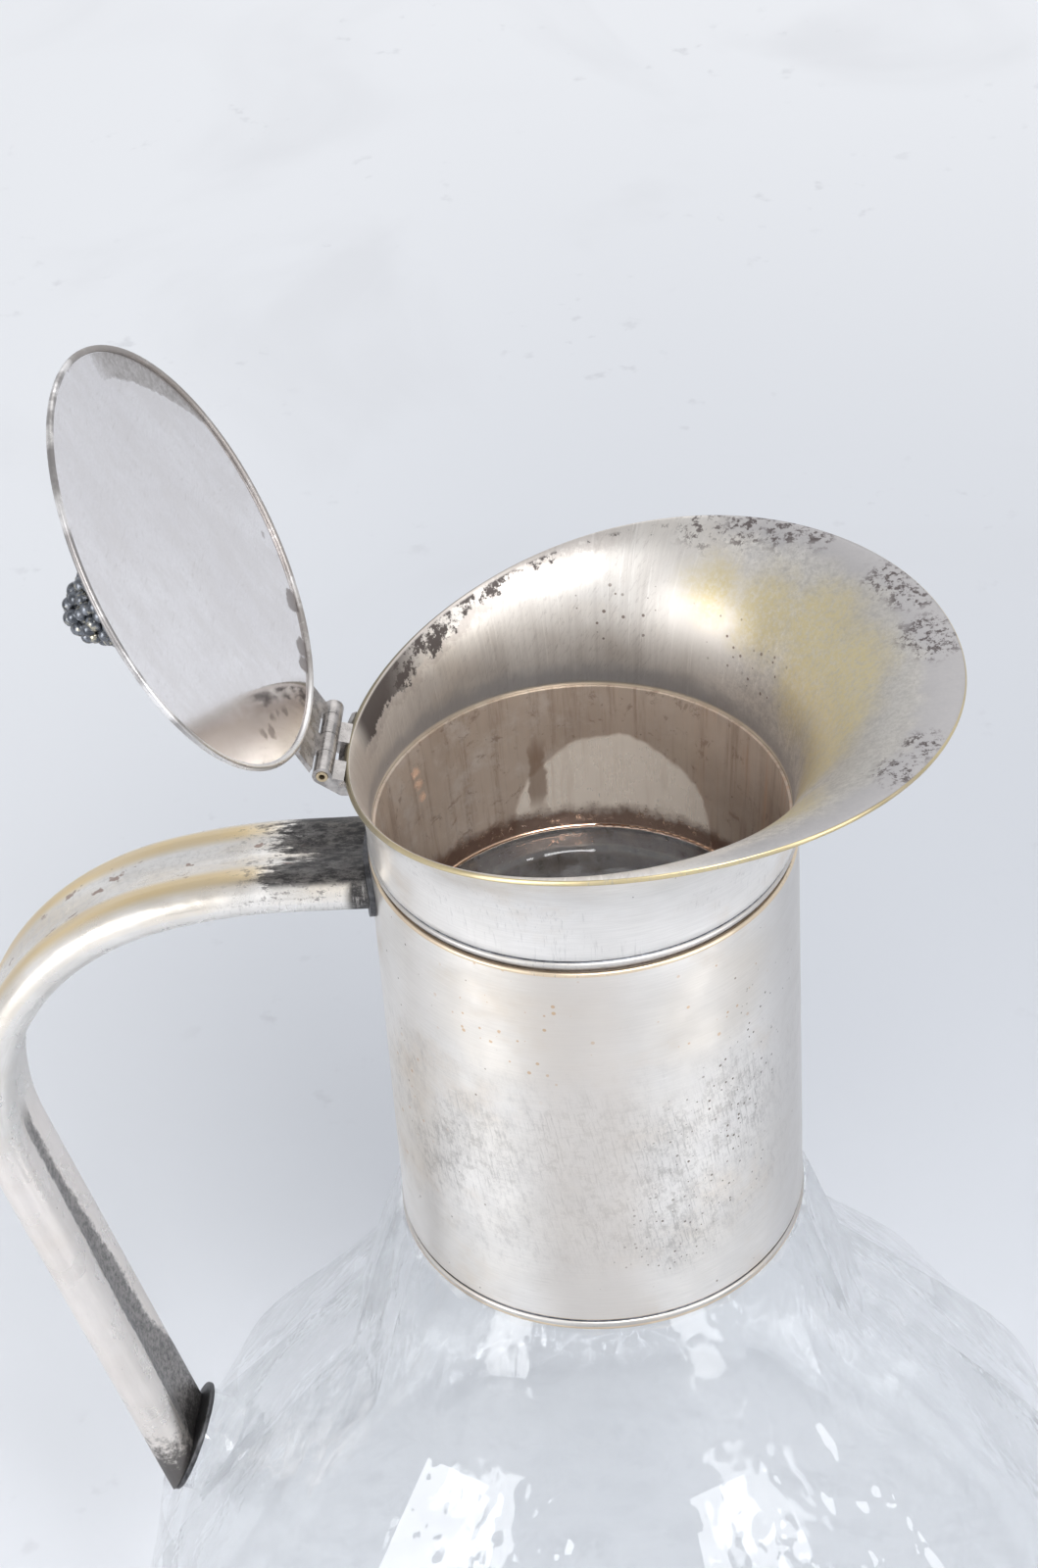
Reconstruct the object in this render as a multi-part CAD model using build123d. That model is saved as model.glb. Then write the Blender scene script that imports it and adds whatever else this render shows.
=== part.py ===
from build123d import *
import os
from math import asin, cos, pi, radians, sin

# Claret jug: a fluted cut-glass body with a tall metal collar, a flared spout, a hollow bent handle
# and a hinged lid. Millimetres. The origin is the centre of the base, +Z is up, +X points to the
# spout, -X to the handle, and the hinge axis runs along Y. The lid is drawn open, its rest pose.

# ---- driving dimensions -------------------------------------------------------------------------

# glass body and neck: radii are those of the sharp ridges between the flutes
flute_count = 18
flute_hollow = 0.008        # depth of a flute below its chord, per unit of radius
glass_height = 184.0        # table to the top of the glass neck
neck_radius = 33.0
neck_bore_radius = 26.0
neck_bore_round = 1.5
throat_top_radius = 36.4
throat_radius = 41.2
throat_z = 115.0
waist_radius = 46.6
waist_z = 97.0
shoulder_radius = 72.0
shoulder_z = 66.0
haunch_radius = 83.3
haunch_z = 51.0
belly_radius = 94.5
belly_z = 23.0
base_radius = 86.0
base_curve_height = 10.0
base_curve_radius = 93.4
glass_wall = 5.5
glass_floor = 9.0
floor_radius = 60.0         # flat part of the inside floor
floor_round = 2.0           # rise of the floor at the foot of the wall
throat_extra_wall = 2.0
collar_seat_gap = 0.3       # glass throat below the collar's lower edge

# collar round the neck
collar_radius = 35.0
collar_wall = 0.9
collar_bottom_z = 129.7
collar_height = 82.3        # lower edge to the upper groove
band_height = 2.07          # between the two grooves
groove_width = 0.25
bead_height = 1.7
bead_proud = 0.25
bead_round = 0.5
solder_gap = 0.05           # between soldered pieces
cement_gap = 0.05           # between plaster and what it holds

# spout and liner
flare_wall = 0.9
skirt_height = 1.5
skirt_run = 3.0             # how far the skirt is drawn down before it is cut at the groove
rim_half_length = 48.97     # along X
rim_half_width = 46.2       # along Y
rim_offset = 12.25          # centre of the rim, towards the spout
rim_height = 27.2           # sides of the rim above the upper groove
rim_rise = 7.1              # the spout is this much higher than the mean of both ends, the hinge lower
rim_bow = 4.8               # mean of the ends below the sides
side_turn = 75.0            # turn of the sheet from vertical at the rim, degrees
spout_turn_gain = 13.0      # more at the spout, less at the hinge
liner_wall = 0.5
liner_bottom_radius = 31.5  # inside
liner_clearance = 0.75      # lower edge of the sleeve above the glass rim
liner_roll_radius = 0.45

# hinge
hinge_x = -40.1
hinge_height = 16.1         # axis above the upper groove
knuckle_radius = 1.6
pin_radius = 0.95
pin_bore_radius = 0.5       # the pin is a drawn tube
pin_proud = 0.15            # beyond the near knuckle
pin_clearance = 0.05
knuckle_gap = 0.12
knuckle_relief = 0.5        # room round a knuckle for the other leaf's
web_seat_angle = 32.0       # where a web leaves its knuckle, from straight below, degrees
far_lid_knuckle = 3.3       # lengths, from the far end to the near end
far_collar_knuckle = 5.1
near_lid_knuckle = 4.6
near_collar_knuckle = 5.0
leaf_thickness = 1.0
leaf_drop_share = 0.25      # of the flare's turn that the collar leaf covers

# lid
lid_radius = 35.5
lid_reach = 41.05           # hinge axis to lid centre
lid_drop = 0.43             # plane of the lid's edge below the hinge axis, when closed
lid_open_angle = 117.76     # above horizontal
lid_rise = 6.0              # dome above the plane of the lid's edge
lid_sheet = 0.8
edge_wire_radius = 0.55
edge_wire_lift = 0.4
lid_leaf_thickness = 0.8
lid_leaf_end = 13.0         # from the hinge axis
lid_leaf_round = 4.0

# finial
finial_shift = 1.6          # off the lid's middle, towards the hinge
finial_height = 23.7        # tip above the plane of the lid's edge
finial_length = 15.4
finial_foot_radius = 6.6
finial_radius = 8.6
finial_widest = 11.2        # above the plane of the lid's edge
finial_waist_radius = 6.9
finial_waist = 17.4
berry_radius = 1.5
berry_row_pitch = 1.9       # between rows of berries, per unit of berry radius
berry_spacing = 2.15        # between the berries of a row, per unit of berry radius
seat_radius = 6.0
seat_thickness = 0.9
rivet_radius = 1.1
rivet_depth = 4.0           # into the casting
rivet_proud = 0.2           # below the lid's inner face

# handle
handle_drop = 9.0           # centre of the handle's root below the upper groove
handle_slope = 3.8          # headings are degrees below horizontal, going outwards
handle_straight = 12.5
handle_bow_radius = 90.0
handle_bow_end = 18.5
handle_bend_radius = 50.3
handle_bend_end = 105.2
handle_half_width = 10.0
handle_half_thickness = 3.75
handle_ridge = 5.7          # ridge lines from the middle
handle_valley = 0.85        # depth of the groove along the seam
handle_wall = 0.8
root_plate_margin = 1.2
root_plate_thickness = 0.9

# foot of the handle
foot_x = -80.2
foot_z = 61.0
foot_slope = 65.0           # plate below horizontal, going outwards, degrees
foot_plate_radius = 10.4
foot_plate_thickness = 1.0
foot_plate_round = 0.35
boss_radius = 9.6
tongue_width = 11.0
tongue_thickness = 3.0
tongue_length = 12.0
tongue_round = 1.0
plug_length = 15.0

# ---- derived places -----------------------------------------------------------------------------

groove_z = collar_bottom_z + collar_height
skirt_top = groove_z + skirt_height
flare_inner = collar_radius - solder_gap - flare_wall
liner_outer = flare_inner - solder_gap
liner_bottom_z = glass_height + liner_clearance
hinge_z = groove_z + hinge_height
hinge_length = far_lid_knuckle + far_collar_knuckle + near_lid_knuckle + near_collar_knuckle
lid_place = Location((hinge_x, 0, hinge_z), (0, -lid_open_angle, 0))
reach = 400.0               # larger than the whole jug, for cutting blocks


def ring(inner, outer, bottom, top):
    """A plain tube about the vertical axis."""
    tube = Cylinder(outer, top - bottom) - Cylinder(inner, top - bottom)
    return Pos(0, 0, (bottom + top) / 2) * tube


def turned(outline):
    """A solid of revolution about Z from (radius, height) points joined by straight lines."""
    face = make_face(Polyline(*[(r, 0, z) for r, z in outline], close=True))
    return revolve(face, Axis.Z)


# ---- glass body ---------------------------------------------------------------------------------

def flute_level(z, radius):
    """One level of the glass: hollow arcs between sharp ridges."""
    step = 2 * pi / flute_count
    bottom = radius * (cos(step / 2) - flute_hollow)
    edges = []
    for i in range(flute_count):
        mid = i * step
        start, end = mid - step / 2, mid + step / 2
        edges.append(ThreePointArc(
            (radius * cos(start), radius * sin(start), z),
            (bottom * cos(mid), bottom * sin(mid), z),
            (radius * cos(end), radius * sin(end), z)))
    return make_face(edges)


def flute_bottom(radius):
    return radius * (cos(pi / flute_count) - flute_hollow)


glass_top_level = (collar_bottom_z - collar_seat_gap, throat_top_radius)
throat_level = (throat_z, throat_radius)
waist_level = (waist_z, waist_radius)
shoulder_level = (shoulder_z, shoulder_radius)
haunch_level = (haunch_z, haunch_radius)
belly_level = (belly_z, belly_radius)
base_curve_level = (base_curve_height, base_curve_radius)
base_level = (0, base_radius)
body_levels = [waist_level, shoulder_level, haunch_level, belly_level, base_curve_level, base_level]


def body_between(upper, lower, share):
    """A level between two others, for the straight flank of the shoulder."""
    return tuple(a + (b - a) * share for a, b in zip(upper, lower))


def make_glass_outside():
    neck = Pos(0, 0, glass_height / 2) * Cylinder(neck_radius, glass_height)
    throat = loft([flute_level(*glass_top_level), flute_level(*throat_level)], ruled=True)
    middle = loft([flute_level(*throat_level), flute_level(*waist_level)], ruled=True)
    flank = [waist_level, body_between(waist_level, shoulder_level, 0.5)] + body_levels[1:]
    body = loft([flute_level(*level) for level in flank])
    return neck + throat + middle + body


def make_cavity():
    """The room inside: a bore through the neck that opens into the body."""
    wall_radius = [flute_bottom(r) - glass_wall for z, r in body_levels]
    outline = Spline(
        (neck_bore_radius, 0, collar_bottom_z),
        (flute_bottom(throat_radius) - glass_wall - throat_extra_wall, 0, throat_z),
        (wall_radius[0], 0, waist_z),
        (wall_radius[1], 0, shoulder_z),
        (wall_radius[2], 0, haunch_z),
        (wall_radius[3], 0, belly_z + glass_floor / 2),
        (wall_radius[5], 0, glass_floor + floor_round),
        (floor_radius, 0, glass_floor),
        tangents=[(0, 0, -1), (-1, 0, 0)])
    floor = Line(outline @ 1, (0, 0, glass_floor))
    axis = Line(floor @ 1, (0, 0, glass_height + 1))
    top = Line(axis @ 1, (neck_bore_radius, 0, glass_height + 1))
    bore = Line(top @ 1, outline @ 0)
    return revolve(make_face([outline, floor, axis, top, bore]), Axis.Z)


# ---- handle path --------------------------------------------------------------------------------

def heading(angle):
    """Direction along the handle, for an angle below horizontal going outwards."""
    return Vector(-cos(radians(angle)), 0, -sin(radians(angle)))


def inward(angle):
    """Direction from the handle's line to the inside of its bend."""
    return Vector(sin(radians(angle)), 0, -cos(radians(angle)))


def bend_end(start, radius, angle_in, angle_out):
    centre = start + inward(angle_in) * radius
    return centre - inward(angle_out) * radius


handle_start = Vector(-collar_radius, 0, groove_z - handle_drop)
bow_start = handle_start + heading(handle_slope) * handle_straight
bend_start = bend_end(bow_start, handle_bow_radius, handle_slope, handle_bow_end)
limb_start = bend_end(bend_start, handle_bend_radius, handle_bow_end, handle_bend_end)
foot_point = Vector(foot_x, 0, foot_z)
foot_normal = Vector(-sin(radians(foot_slope)), 0, cos(radians(foot_slope)))
foot_down = Vector(-cos(radians(foot_slope)), 0, -sin(radians(foot_slope)))
limb_down = heading(handle_bend_end)
limb_length = (foot_point - limb_start).dot(foot_normal) / limb_down.dot(foot_normal)
limb_foot = limb_start + limb_down * limb_length     # where the handle's line meets the plate


def foot_plane(lift):
    """A plane parallel to the foot plate, lifted off its middle, centred on the plate."""
    return Plane(origin=foot_point + foot_normal * lift, x_dir=(0, 1, 0), z_dir=foot_normal)


def foot_block(lift):
    """Everything on the glass side of a plane parallel to the foot plate."""
    return foot_plane(lift) * Pos(0, 0, -reach / 2) * Box(reach, reach, reach)


def half_section(plane, inset):
    """Right half of the handle's section, made smaller all round by inset."""
    side = handle_half_width - handle_ridge - inset
    height = handle_half_thickness - inset
    seam = height - handle_valley
    top = Spline((0, seam), (handle_ridge, height), tangents=[(1, 0), (1, 0)])
    corner = EllipticalCenterArc((handle_ridge, 0), side, height, start_angle=0, arc_size=90)
    outline = [top, corner, mirror(corner, Plane.XZ), mirror(top, Plane.XZ), Line((0, -seam), (0, seam))]
    return plane * make_face(outline)


def handle_half(inset):
    """Right half of the handle as a filled bar, from inside the collar to below the foot plate."""
    def section(point, angle):
        return half_section(Plane(origin=point, x_dir=(0, 1, 0), z_dir=heading(angle)), inset)

    def bend(start, radius, angle_in, angle_out):
        centre = start + inward(angle_in) * radius
        turn_axis = Axis(centre, (0, -1, 0))
        return revolve(section(start, angle_in), turn_axis, revolution_arc=angle_out - angle_in)

    lead_in = handle_half_width
    root = extrude(section(handle_start - heading(handle_slope) * lead_in, handle_slope),
                   lead_in + handle_straight)
    bow = bend(bow_start, handle_bow_radius, handle_slope, handle_bow_end)
    elbow = bend(bend_start, handle_bend_radius, handle_bow_end, handle_bend_end)
    limb = extrude(section(limb_start, handle_bend_end), limb_length + handle_half_width)
    return root + bow + elbow + limb


def make_tongue(grow):
    """Flat glass tongue inside the foot of the handle, larger all round by grow."""
    plane = Plane(origin=limb_foot, x_dir=(0, 1, 0), z_dir=-limb_down)
    bar = Box(tongue_width + 2 * grow, tongue_thickness + 2 * grow, 2 * tongue_length + 2 * grow)
    return plane * fillet(bar.edges().filter_by(Axis.Z), tongue_round)


def make_glass_body():
    plate_under = -foot_plate_thickness / 2
    boss_height = 2 * boss_radius
    boss_top = foot_plane(plate_under - solder_gap)
    boss = boss_top * Pos(0, 0, -boss_height / 2) * Cylinder(boss_radius, boss_height)
    glass = make_glass_outside() + boss + make_tongue(0)
    glass -= make_cavity()
    mouth_edge = glass.edges().filter_by(GeomType.CIRCLE).sort_by(Axis.Z)[-2:].sort_by(SortBy.RADIUS)[0]
    return fillet(mouth_edge, neck_bore_round)


def make_handle_half():
    shell = handle_half(0) - handle_half(handle_wall)
    root_face = collar_radius + 2 * solder_gap + root_plate_thickness
    shell -= Pos(0, 0, groove_z - handle_drop) * Cylinder(root_face, reach / 4)
    return shell - foot_block(foot_plate_thickness / 2 + solder_gap)


def make_root_plate():
    inner = collar_radius + solder_gap
    height = 2 * (handle_half_thickness + root_plate_margin)
    width = 2 * (handle_half_width + root_plate_margin)
    start = handle_start - heading(handle_slope) * handle_half_width
    plane = Plane(origin=start, x_dir=(0, 1, 0), z_dir=heading(handle_slope))
    outline = plane * RectangleRounded(width, height, height / 2 - solder_gap)
    bar = extrude(outline, 2 * handle_half_width)
    return bar & ring(inner, inner + root_plate_thickness, groove_z - 2 * height, groove_z + height)


def make_foot_plate():
    plate = Cylinder(foot_plate_radius, foot_plate_thickness)
    plate = fillet(plate.edges().filter_by(GeomType.CIRCLE), foot_plate_round)
    return foot_plane(0) * plate - make_tongue(solder_gap)


def make_foot_cement():
    plane = Plane(origin=limb_foot, x_dir=(0, 1, 0), z_dir=-limb_down)
    half = half_section(plane, handle_wall + cement_gap)
    filled = half + mirror(half, Plane.XZ)
    lead_in = handle_half_width
    plug = extrude(Pos(*(limb_down * lead_in)) * filled, lead_in + plug_length)
    plug -= foot_block(foot_plate_thickness / 2 + cement_gap)
    return plug - make_tongue(cement_gap)


# ---- collar -------------------------------------------------------------------------------------

def make_neck_collar():
    bottom = collar_bottom_z + bead_height + groove_width
    top = groove_z - band_height - groove_width / 2
    return ring(collar_radius - collar_wall, collar_radius, bottom, top)


def make_foot_bead():
    bead = ring(collar_radius - collar_wall, collar_radius + bead_proud,
                collar_bottom_z, collar_bottom_z + bead_height)
    outer_edges = bead.edges().filter_by(GeomType.CIRCLE).sort_by(SortBy.RADIUS)[-2:]
    return fillet(outer_edges, bead_round)


def make_joint_band():
    return ring(flare_inner, collar_radius, groove_z - band_height + groove_width / 2,
                groove_z - groove_width / 2)


def make_neck_cement():
    return ring(neck_radius + cement_gap, collar_radius - collar_wall - cement_gap,
                collar_bottom_z + cement_gap, glass_height)


def make_neck_liner():
    top_inner = liner_outer - liner_wall
    sleeve = turned([(top_inner, skirt_top), (liner_outer, skirt_top),
                     (liner_bottom_radius + liner_wall, liner_bottom_z),
                     (liner_bottom_radius, liner_bottom_z)])
    roll = Pos(0, 0, liner_bottom_z) * Torus(liner_bottom_radius + liner_wall / 2, liner_roll_radius)
    return sleeve + roll


# ---- spout --------------------------------------------------------------------------------------

def rim_point(azimuth):
    along = cos(azimuth)
    height = rim_height + rim_rise * along - rim_bow * along ** 2
    return rim_offset + rim_half_length * along, rim_half_width * sin(azimuth), groove_z + height


def flare_inside(azimuth, share):
    """Inner face of the spout: share 0 is its straight ring, 1 its rim, -1 the bottom of the skirt."""
    ring_x, ring_y = flare_inner * cos(azimuth), flare_inner * sin(azimuth)
    if share < 0:
        return Vector(ring_x, ring_y, skirt_top + share * skirt_run)
    rim_x, rim_y, rim_z = rim_point(azimuth)
    full_turn = radians(side_turn + spout_turn_gain * cos(azimuth))
    turn = full_turn * share
    out = (1 - cos(turn)) / (1 - cos(full_turn))
    up = sin(turn) / sin(full_turn)
    return Vector(ring_x + (rim_x - ring_x) * out, ring_y + (rim_y - ring_y) * out,
                  skirt_top + (rim_z - skirt_top) * up)


def flare_point(azimuth, share, out):
    """A point at a distance outside the spout's inner face."""
    here = flare_inside(azimuth, share)
    step = 1e-3
    low = max(share - step, 0) if share >= 0 else share
    along = flare_inside(azimuth, low + step) - flare_inside(azimuth, low)
    around = flare_inside(azimuth + step, share) - flare_inside(azimuth - step, share)
    return here + around.cross(along).normalized() * out


def flare_sheet(azimuths, shares, out, thickness):
    """A curved sheet that follows the spout, from out to out + thickness outside its inner face."""
    grid = [[flare_point(a, s, out) for s in shares] for a in azimuths]
    surface = Face.make_surface_from_array_of_points(grid, tol=0.01, max_deg=5)
    middle_azimuth, middle_share = azimuths[len(azimuths) // 2], shares[len(shares) // 2]
    outward = flare_point(middle_azimuth, middle_share, 1) - flare_point(middle_azimuth, middle_share, 0)
    return thicken(surface, thickness, normal_override=outward)


def steps(first, last, count):
    return [first + (last - first) * i / count for i in range(count + 1)]


def make_spout_flare():
    overlap = radians(12)           # each half is drawn past the middle, then cut there
    shares = [-1.0, -0.5] + steps(0, 1, 10)
    sheet = flare_sheet(steps(-overlap, pi + overlap, 44), shares, 0, flare_wall)
    keep = Pos(0, reach / 2, groove_z + groove_width / 2 + reach / 2) * Box(reach, reach, reach)
    half = sheet & keep
    return half + mirror(half, Plane.XZ)


# ---- hinge --------------------------------------------------------------------------------------

def knuckle_spans():
    """(low y, high y) of each knuckle from the far end to the near end; lid and collar alternate."""
    spans, y = [], hinge_length / 2
    for length in (far_lid_knuckle, far_collar_knuckle, near_lid_knuckle, near_collar_knuckle):
        spans.append((y - length + knuckle_gap / 2, y - knuckle_gap / 2))
        y -= length
    return spans


def across(low, high, radius):
    """A round bar along the hinge axis, in the hinge's own frame."""
    return Pos(0, (low + high) / 2, 0) * Rot(90, 0, 0) * Cylinder(radius, high - low)


lid_spans = knuckle_spans()[0::2]
collar_spans = knuckle_spans()[1::2]
hinge_place = Pos(hinge_x, 0, hinge_z)


def make_hinge_collar_leaf():
    first_share = 1 - leaf_drop_share
    half_angle = hinge_length / 2 / rim_half_width
    azimuths = steps(pi - half_angle, pi + half_angle, 8)
    leaf_middle = flare_wall + solder_gap + leaf_thickness / 2
    leaf = flare_sheet(azimuths, steps(first_share, 1, 4), flare_wall + solder_gap, leaf_thickness)
    inside = flare_sheet(steps(pi - 2 * half_angle, pi + 2 * half_angle, 12), steps(0.3, 1, 8),
                         -2 * knuckle_radius, 2 * knuckle_radius + leaf_middle)
    rim_top = flare_point(pi, 1, 0)
    leaf_low = flare_point(pi, first_share, flare_wall + leaf_thickness)
    for low, high in collar_spans:
        web = make_face(Polyline(
            (hinge_x, low, hinge_z),
            (rim_top.X, low, rim_top.Z - solder_gap),
            (leaf_low.X + knuckle_radius, low, leaf_low.Z),
            (leaf_low.X, low, leaf_low.Z),
            (hinge_x - knuckle_radius * sin(radians(web_seat_angle)), low,
             hinge_z - knuckle_radius * cos(radians(web_seat_angle))), close=True))
        leaf += extrude(web, high - low, dir=(0, 1, 0)) - inside
        leaf += hinge_place * across(low, high, knuckle_radius)
    for low, high in lid_spans:
        leaf -= hinge_place * across(low - knuckle_gap, high + knuckle_gap, knuckle_radius + knuckle_relief)
    bore = across(-hinge_length, hinge_length, pin_radius + pin_clearance)
    return leaf - hinge_place * bore


def make_hinge_pin():
    ends = -hinge_length / 2 + knuckle_gap / 2 - pin_proud, hinge_length / 2 - knuckle_gap / 2
    return hinge_place * (across(*ends, pin_radius) - across(*ends, pin_bore_radius))


# ---- lid, drawn in its own frame: x from the hinge across the lid, z out of its outer face --------

dome_edge = lid_radius - edge_wire_radius
dome_radius = (dome_edge ** 2 + lid_rise ** 2) / (2 * lid_rise)
lid_middle = Pos(lid_reach, 0, -lid_drop)
finial_middle = Pos(lid_reach - finial_shift, 0, -lid_drop)


def dome_shell(lift, thickness):
    """Part of a sphere that follows the lid, lifted off its inner face."""
    inner = dome_radius + lift
    shell = Sphere(inner + thickness) - Sphere(inner)
    return lid_middle * Pos(0, 0, lid_rise - dome_radius) * shell


def edge_ring(grow):
    return lid_middle * Pos(0, 0, edge_wire_lift) * Torus(dome_edge, edge_wire_radius + grow)


def make_lid_dome():
    rim = dome_edge - edge_wire_radius - solder_gap
    core = lid_middle * Cylinder(rim, dome_radius)
    return (dome_shell(0, lid_sheet) & core) - rivet_bar(solder_gap)


def make_hinge_lid_leaf():
    strap_z = edge_wire_lift + edge_wire_radius + solder_gap - lid_drop
    strap_end = lid_reach - dome_edge + edge_wire_radius
    width = hinge_length - knuckle_gap
    strap = Pos(strap_end / 2, 0, strap_z + lid_leaf_thickness / 2) * Box(strap_end, width, lid_leaf_thickness)
    tab = RectangleRounded(2 * lid_leaf_end, width, lid_leaf_round)
    tab_start = lid_reach - dome_edge
    column = extrude(tab, 2 * lid_rise) - Box(2 * tab_start, 2 * width, 5 * lid_rise)
    leaf = strap + (dome_shell(lid_sheet + solder_gap, lid_leaf_thickness) & column)
    for low, high in lid_spans:
        web_height = strap_z + lid_leaf_thickness
        web = Box(knuckle_radius, high - low, web_height)
        leaf += Pos(knuckle_radius / 2, (low + high) / 2, web_height / 2) * web
        leaf += across(low, high, knuckle_radius)
    for low, high in collar_spans:
        leaf -= across(low - knuckle_gap, high + knuckle_gap, knuckle_radius + knuckle_relief)
    leaf -= edge_ring(solder_gap)
    return leaf - across(-hinge_length, hinge_length, pin_radius + pin_clearance)


seat_bottom = lid_rise + lid_sheet + solder_gap
seat_top = seat_bottom + seat_thickness
rivet_bottom = lid_rise - rivet_proud


def rivet_bar(grow):
    """Round peg from the lid's inner face into the casting, larger all round by grow."""
    top = seat_top + rivet_depth
    bar = Cylinder(rivet_radius + grow, top - rivet_bottom + 2 * grow)
    return finial_middle * Pos(0, 0, (rivet_bottom + top) / 2) * bar


def make_finial_base():
    seat = Pos(0, 0, (seat_bottom + seat_top) / 2) * Cylinder(seat_radius, seat_thickness)
    seat = fillet(seat.edges().filter_by(GeomType.CIRCLE).sort_by(Axis.Z)[-1], seat_thickness / 2)
    return finial_middle * seat - rivet_bar(solder_gap)


def make_grape_finial():
    """A cast bunch of grapes: rows of berries, each half sunk in the bunch's core."""
    bottom = finial_height - finial_length
    core = Spline((finial_foot_radius - berry_radius, bottom), (finial_radius - berry_radius, finial_widest),
                  (finial_waist_radius - berry_radius, finial_waist), (0, finial_height - berry_radius),
                  tangents=[(1, 1), (-1, 0)])
    outline = [core, Line(core @ 1, (0, bottom)), Line((0, bottom), core @ 0)]
    casting = revolve(Plane.XZ * make_face(outline), Axis.Z)
    rows = int((core.length / berry_radius - 1) / berry_row_pitch) - 1
    berries = [Pos(0, 0, (core @ 1).Y) * Sphere(berry_radius)]
    for row in range(rows):
        share = (row * berry_row_pitch + 1) * berry_radius / core.length
        seat = core @ share
        lean = core % share
        half_share = berry_spacing * berry_radius / 2 / seat.X
        count = int(pi / asin(min(half_share, 1)))
        for k in range(count):
            angle = 2 * pi * (k + row % 2 / 2) / count
            middle = (seat.X * cos(angle), seat.X * sin(angle), seat.Y)
            outward = (lean.Y * cos(angle), lean.Y * sin(angle), -lean.X)
            berries.append(Plane(middle, z_dir=outward) * Sphere(berry_radius))
    return finial_middle * (casting + berries) - rivet_bar(solder_gap)


# ---- build and write ----------------------------------------------------------------------------

handle_right = make_handle_half()
parts = {
    "glass_body": make_glass_body(),
    "neck_collar": make_neck_collar(),
    "collar_foot_bead": make_foot_bead(),
    "joint_band": make_joint_band(),
    "neck_liner": make_neck_liner(),
    "neck_cement": make_neck_cement(),
    "spout_flare": make_spout_flare(),
    "handle_left_half": handle_right,
    "handle_right_half": mirror(handle_right, Plane.XZ),
    "handle_root_plate": make_root_plate(),
    "handle_foot_plate": make_foot_plate(),
    "handle_foot_cement": make_foot_cement(),
    "hinge_collar_leaf": make_hinge_collar_leaf(),
    "hinge_pin": make_hinge_pin(),
    "lid_dome": lid_place * make_lid_dome(),
    "lid_edge_wire": lid_place * edge_ring(0),
    "hinge_lid_leaf": lid_place * make_hinge_lid_leaf(),
    "finial_base": lid_place * make_finial_base(),
    "grape_finial": lid_place * make_grape_finial(),
    "finial_rivet": lid_place * rivet_bar(0),
}

os.makedirs("parts", exist_ok=True)
for name, shape in parts.items():
    export_step(shape, f"parts/{name}.step")
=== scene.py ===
"""Claret jug: materials, small forms, floor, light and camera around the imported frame."""
from math import cos, radians, sin, sqrt, tau

import bmesh
import bpy
from mathutils import Matrix, Vector


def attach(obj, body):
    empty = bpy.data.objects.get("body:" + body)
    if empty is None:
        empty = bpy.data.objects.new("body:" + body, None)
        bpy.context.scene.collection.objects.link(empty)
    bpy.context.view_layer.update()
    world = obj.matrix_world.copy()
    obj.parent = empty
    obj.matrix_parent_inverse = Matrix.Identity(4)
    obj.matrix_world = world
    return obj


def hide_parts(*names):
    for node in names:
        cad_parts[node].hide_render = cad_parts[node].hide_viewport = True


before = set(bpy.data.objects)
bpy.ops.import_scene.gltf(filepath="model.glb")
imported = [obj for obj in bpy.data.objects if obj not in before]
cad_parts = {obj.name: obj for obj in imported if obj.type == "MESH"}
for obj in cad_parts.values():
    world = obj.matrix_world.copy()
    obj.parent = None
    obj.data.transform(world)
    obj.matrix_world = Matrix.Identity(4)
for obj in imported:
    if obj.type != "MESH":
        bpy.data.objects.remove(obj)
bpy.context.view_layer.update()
MM = 0.001

# ---- sizes of the part, in millimetres ---------------------------------------------------------

COLLAR_RADIUS = 35.0
COLLAR_INSIDE = 34.1
GROOVE_Z = 212.0            # the groove between collar and spout

# spout: its rim is an oval whose height changes along X
FLARE_INSIDE = 34.05
FLARE_WALL = 0.9
SKIRT_TOP = 213.5
RIM_MIDDLE = 12.25
RIM_HALF_LENGTH = 48.97
RIM_HALF_WIDTH = 46.2
RIM_HEIGHT = 27.2           # above the groove, in the rim's middle
RIM_TILT = 7.1
RIM_HOLLOW = 4.8

# handle: the middle of its bend, and the ridges beside its seam
HANDLE_BEND = (-54.1, 0, 150)
HANDLE_RIDGE = 5.7

# lid: its hinge, how far it is open at rest, and its middle seen from the hinge
HINGE = Vector((-40.1, 0, 228.1))
LID_OPEN = 117.76
LID_REACH = 41.05
LID_DROP = 0.43
LID_EDGE = 34.35
LID_CURVE = 105.59
LID_HEIGHT = 6.8
LID_TURN = Matrix.Rotation(-radians(LID_OPEN), 4, "Y")
LID_METRES = Matrix.Translation(HINGE * MM) @ LID_TURN
LID_MIDDLE = HINGE + LID_TURN @ Vector((LID_REACH, 0, -LID_DROP))
LID_AXIS = LID_TURN @ Vector((0, 0, 1))


# ---- materials ----------------------------------------------------------------------------------

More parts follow.
